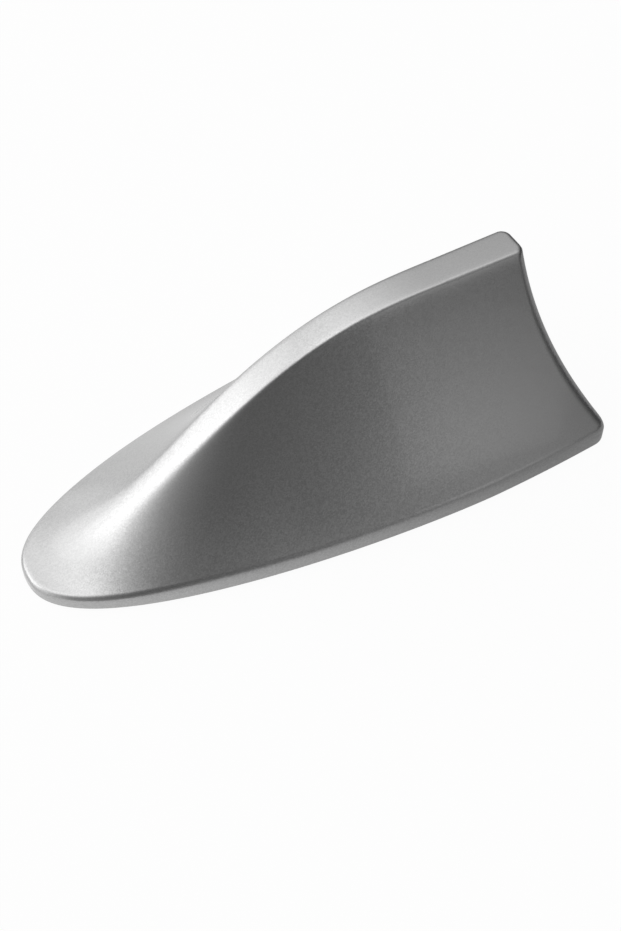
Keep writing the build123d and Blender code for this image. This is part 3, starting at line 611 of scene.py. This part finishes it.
# Enamelled copper: a red metal under a clear, glossy skin
enamelled = patterned(
    "enamelled_copper_wire", GRAIN, 0.6, "#8f3f1b", "#b25a2b", 0.002,
    {"Metallic": 1.0, "Roughness": 0.3, "Coat Weight": 1.0, "Coat Roughness": 0.1},
)
wire_tube = (wire + sleeve_foot)[None] * MM
put_in_place(ring_mesh("wound_choke_wire", wire_tube, WIRE_SHARP_ANGLE), "choke_winding", enamelled)

# %% [markdown]
# ## Floor
# The fin stands on a plain pale floor. To the camera the floor is nearly white. In the paint's reflections it glows
# with
# painted light and shade: pale behind the nose and painted greyer towards the tail, as a sheet lit from one side
# would look, and Light Path tells the material which kind of ray asks. The rest of the floor's light is that of
# ordinary matt paper, which keeps a soft shadow under the fin.

# %% Pale floor
FLOOR_FRONT = 260 * MM
FLOOR_BACK = 900 * MM
FLOOR_SIDE = 900 * MM


def grid_mesh(name, points):
    """A mesh from a grid of points, rows by columns by three: neighbours in both directions share a quad."""
    rows, columns = points.shape[:2]
    number = np.arange(rows * columns).reshape(rows, columns)
    quads = np.stack([number[:-1, :-1], number[:-1, 1:], number[1:, 1:], number[1:, :-1]], axis=-1).reshape(-1, 4)
    mesh = bpy.data.meshes.new(name)
    mesh.from_pydata(points.reshape(-1, 3).tolist(), [], quads.tolist())
    piece = bpy.data.objects.new(name, mesh)
    bpy.context.scene.collection.objects.link(piece)
    return piece


across, away = np.meshgrid([-FLOOR_SIDE, FLOOR_SIDE], [-FLOOR_FRONT, FLOOR_BACK])
floor = grid_mesh("pale_floor", np.stack([across, away, np.zeros_like(across)], axis=-1))
print("floor:", [round(side / MM) for side in floor.dimensions], "mm")

# %% Paper of the floor
SEEN_WHITE = 0.95
# Painted light and shade: in reflections the floor's glow is painted pale towards the nose and behind, and grey
# towards the tail's near side
PAINTED_LIGHT_SIDE = (-0.9, 0.44, 0.0)
PAINTED_SHADE_ENDS = (-80 * MM, 90 * MM)
PAINTED_SHADE_LEVELS = (0.32, 0.85)

paper, tree, place = new_material("matt_white_paper")
ray = add_node(tree, "LightPath")
to_painted_light_side = add_node(tree, "VectorMath", {1: PAINTED_LIGHT_SIDE}, {0: place}, operation="DOT_PRODUCT")
# Painted shade: the glow that glossy rays see fades from pale to grey along one direction across the floor
painted_light_level = add_node(
    tree, "MapRange",
    {"From Min": PAINTED_SHADE_ENDS[0], "From Max": PAINTED_SHADE_ENDS[1], "To Min": PAINTED_SHADE_LEVELS[0], "To Max": PAINTED_SHADE_LEVELS[1]},
    {"Value": to_painted_light_side.outputs["Value"]},
)
seen = add_node(tree, "Math", {1: SEEN_WHITE}, {0: ray.outputs["Is Camera Ray"]}, operation="MULTIPLY")
mirrored = add_node(
    tree, "Math", {}, {0: ray.outputs["Is Glossy Ray"], 1: ray.outputs["Is Transmission Ray"]}, operation="MAXIMUM"
)
share = add_node(tree, "Math", {}, {0: seen.outputs[0], 1: mirrored.outputs[0]}, operation="MAXIMUM")
strength = add_node(
    tree, "Math", {}, {0: ray.outputs["Is Camera Ray"], 1: painted_light_level.outputs["Result"]}, operation="MAXIMUM"
)
matt = add_node(tree, "BsdfDiffuse", {"Color": linear("#f4f4f4")})
white = add_node(tree, "Emission", {"Color": linear("#ffffff")}, {"Strength": strength.outputs[0]})
mixed = add_node(tree, "MixShader", {}, {0: share.outputs[0], 1: matt.outputs[0], 2: white.outputs[0]})
add_node(tree, "OutputMaterial", {}, {"Surface": mixed.outputs[0]})
floor.data.materials.append(paper)
print("paper on floor:", paper.name)

# %% [markdown]
# ## Room light
# Paint as glossy as this shows the room around it as much as its own colour, so the room is most of the light. In the
# photograph the brightest part stands behind the nose, the ceiling and the wall behind are pale, and the side towards
# the camera is dark. Each panel of the room is a soft round patch: its light falls off with the angle from its middle
# as a bell curve. Lamps could stand in for the panels, but their edges would show as hard shapes in the lacquer. The
# camera itself sees plain white behind everything.

# %% Soft panels round the room
PANEL_FOCUS = 12.0
PANELS = (
    ("wall_behind", -170, 12, 0.98),
    ("wall_behind_nose", -140, 12, 0.25),
    ("window_by_nose", -110, 12, 0.88),
    ("wall_by_nose", -80, 12, 0.52),
    ("wall_near_nose", -50, 12, 0.28),
    ("wall_near", 10, 12, 0.16),
    ("back_rise", 180, 40, 0.31),
    ("nose_rise", -110, 40, 0.88),
    ("near_nose_rise", -75, 40, 0.11),
    ("near_tail_rise", 35, 40, 0.3),
    ("tail_rise", 150, 40, 0.38),
    ("ceiling_behind", -160, 68, 1.45),
    ("ceiling_near", -40, 68, 0.21),
    ("ceiling_tail", 140, 68, 0.17),
    ("ceiling_right", 80, 68, 0.9),
)


def toward(azimuth, elevation):
    """Unit vector from the fin: azimuth turns from the near side to the tail, elevation rises from the floor."""
    turn, rise = math.radians(azimuth), math.radians(elevation)
    return Vector((math.sin(turn) * math.cos(rise), -math.cos(turn) * math.cos(rise), math.sin(rise)))


world = bpy.data.worlds.new("studio_room")
bpy.context.scene.world = world
world.use_nodes = True
tree = world.node_tree
tree.nodes.clear()
ray = add_node(tree, "LightPath")
aim = add_node(tree, "TexCoord").outputs["Generated"]
level = None
for name, azimuth, elevation, radiance in PANELS:
    middle = toward(azimuth, elevation)
    near = add_node(tree, "VectorMath", {1: middle}, {0: aim}, operation="DOT_PRODUCT")
    less = add_node(
        tree, "Math", {1: PANEL_FOCUS, 2: -PANEL_FOCUS}, {0: near.outputs["Value"]}, operation="MULTIPLY_ADD"
    )
    bell = add_node(tree, "Math", {}, {0: less.outputs[0]}, operation="EXPONENT", label=name)
    so_far = {2: level} if level else {}
    level = add_node(
        tree, "Math", {1: radiance, 2: 0.0}, {0: bell.outputs[0], **so_far}, operation="MULTIPLY_ADD"
    ).outputs[0]
room = add_node(tree, "Background", {"Color": linear("#ffffff")}, {"Strength": level})
bright = add_node(tree, "Background", {"Color": linear("#ffffff"), "Strength": 1.0})
around = add_node(tree, "MixShader", {}, {0: ray.outputs["Is Camera Ray"], 1: room.outputs[0], 2: bright.outputs[0]})
add_node(tree, "OutputWorld", {}, {"Surface": around.outputs[0]})
print("panels:", len(PANELS))

# %% [markdown]
# ## Softboxes
# Three softboxes stand in the room: a large key light behind the nose, a smaller one in front of it that sharpens the
# gleam along the crest, and a weak one that fills the near side towards the tail. Each is a square area lamp that
# faces the fin. A square of one radiance sends out four times its area in watts, so its power follows from its size.

# %% Lamps
SOFTBOX_DISTANCE = 0.9


def softbox(name, direction, size, radiance):
    """A square area lamp of a size in metres that faces the fin from a direction."""
    lamp = bpy.data.lights.new(name, "AREA")
    lamp.size = size
    lamp.energy = 4 * radiance * size**2
    holder = bpy.data.objects.new(name, lamp)
    away = Vector(direction).normalized()
    holder.location = away * SOFTBOX_DISTANCE
    holder.rotation_mode = "QUATERNION"
    holder.rotation_quaternion = away.to_track_quat("Z", "Y")
    bpy.context.scene.collection.objects.link(holder)
    print(name, round(lamp.energy, 2), "W")


softbox("key_softbox", (-0.65, 0.545, 0.53), 0.66, 0.54)
softbox("gleam_softbox", (-0.68, 0.53, 0.50), 0.36, 0.45)
softbox("fill_softbox", (0.42, -0.88, 0.22), 0.30, 0.24)

# %% [markdown]
# ## Camera
# The camera stands where the photographer's did: to the left of the nose and well above it, about half a metre away.
# Its angles, distance and focal length were found by laying the fin's formula over the photograph's outline. Its
# three axes are built by hand: one points back from the aim to the camera, one is level, and the last completes them.

# %% Photo camera
CAMERA_AZIMUTH = -30.33
CAMERA_ELEVATION = 51.18
CAMERA_ROLL = 0.58
CAMERA_DISTANCE = 476.9 * MM
CAMERA_AIM = Vector((4.66, 0.0, -3.56)) * MM
FOCAL_PIXELS = 1574.8
FRAME_HEIGHT = 931

back = toward(CAMERA_AZIMUTH, CAMERA_ELEVATION)
roll = math.radians(CAMERA_ROLL)
level_axis = Vector((0.0, 0.0, 1.0)).cross(back).normalized()
right = math.cos(roll) * level_axis + math.sin(roll) * back.cross(level_axis)
up = back.cross(right)
camera_data = bpy.data.cameras.new("photo_camera")
camera_data.lens = camera_data.sensor_width * FOCAL_PIXELS / FRAME_HEIGHT
camera = bpy.data.objects.new("photo_camera", camera_data)
camera.matrix_world = Matrix.Translation(CAMERA_AIM + CAMERA_DISTANCE * back) @ Matrix(
    (right, up, back)
).transposed().to_4x4()
bpy.context.scene.collection.objects.link(camera)
bpy.context.scene.camera = camera
bpy.context.scene.view_settings.view_transform = "Standard"
print("lens:", round(camera_data.lens, 1), "mm")
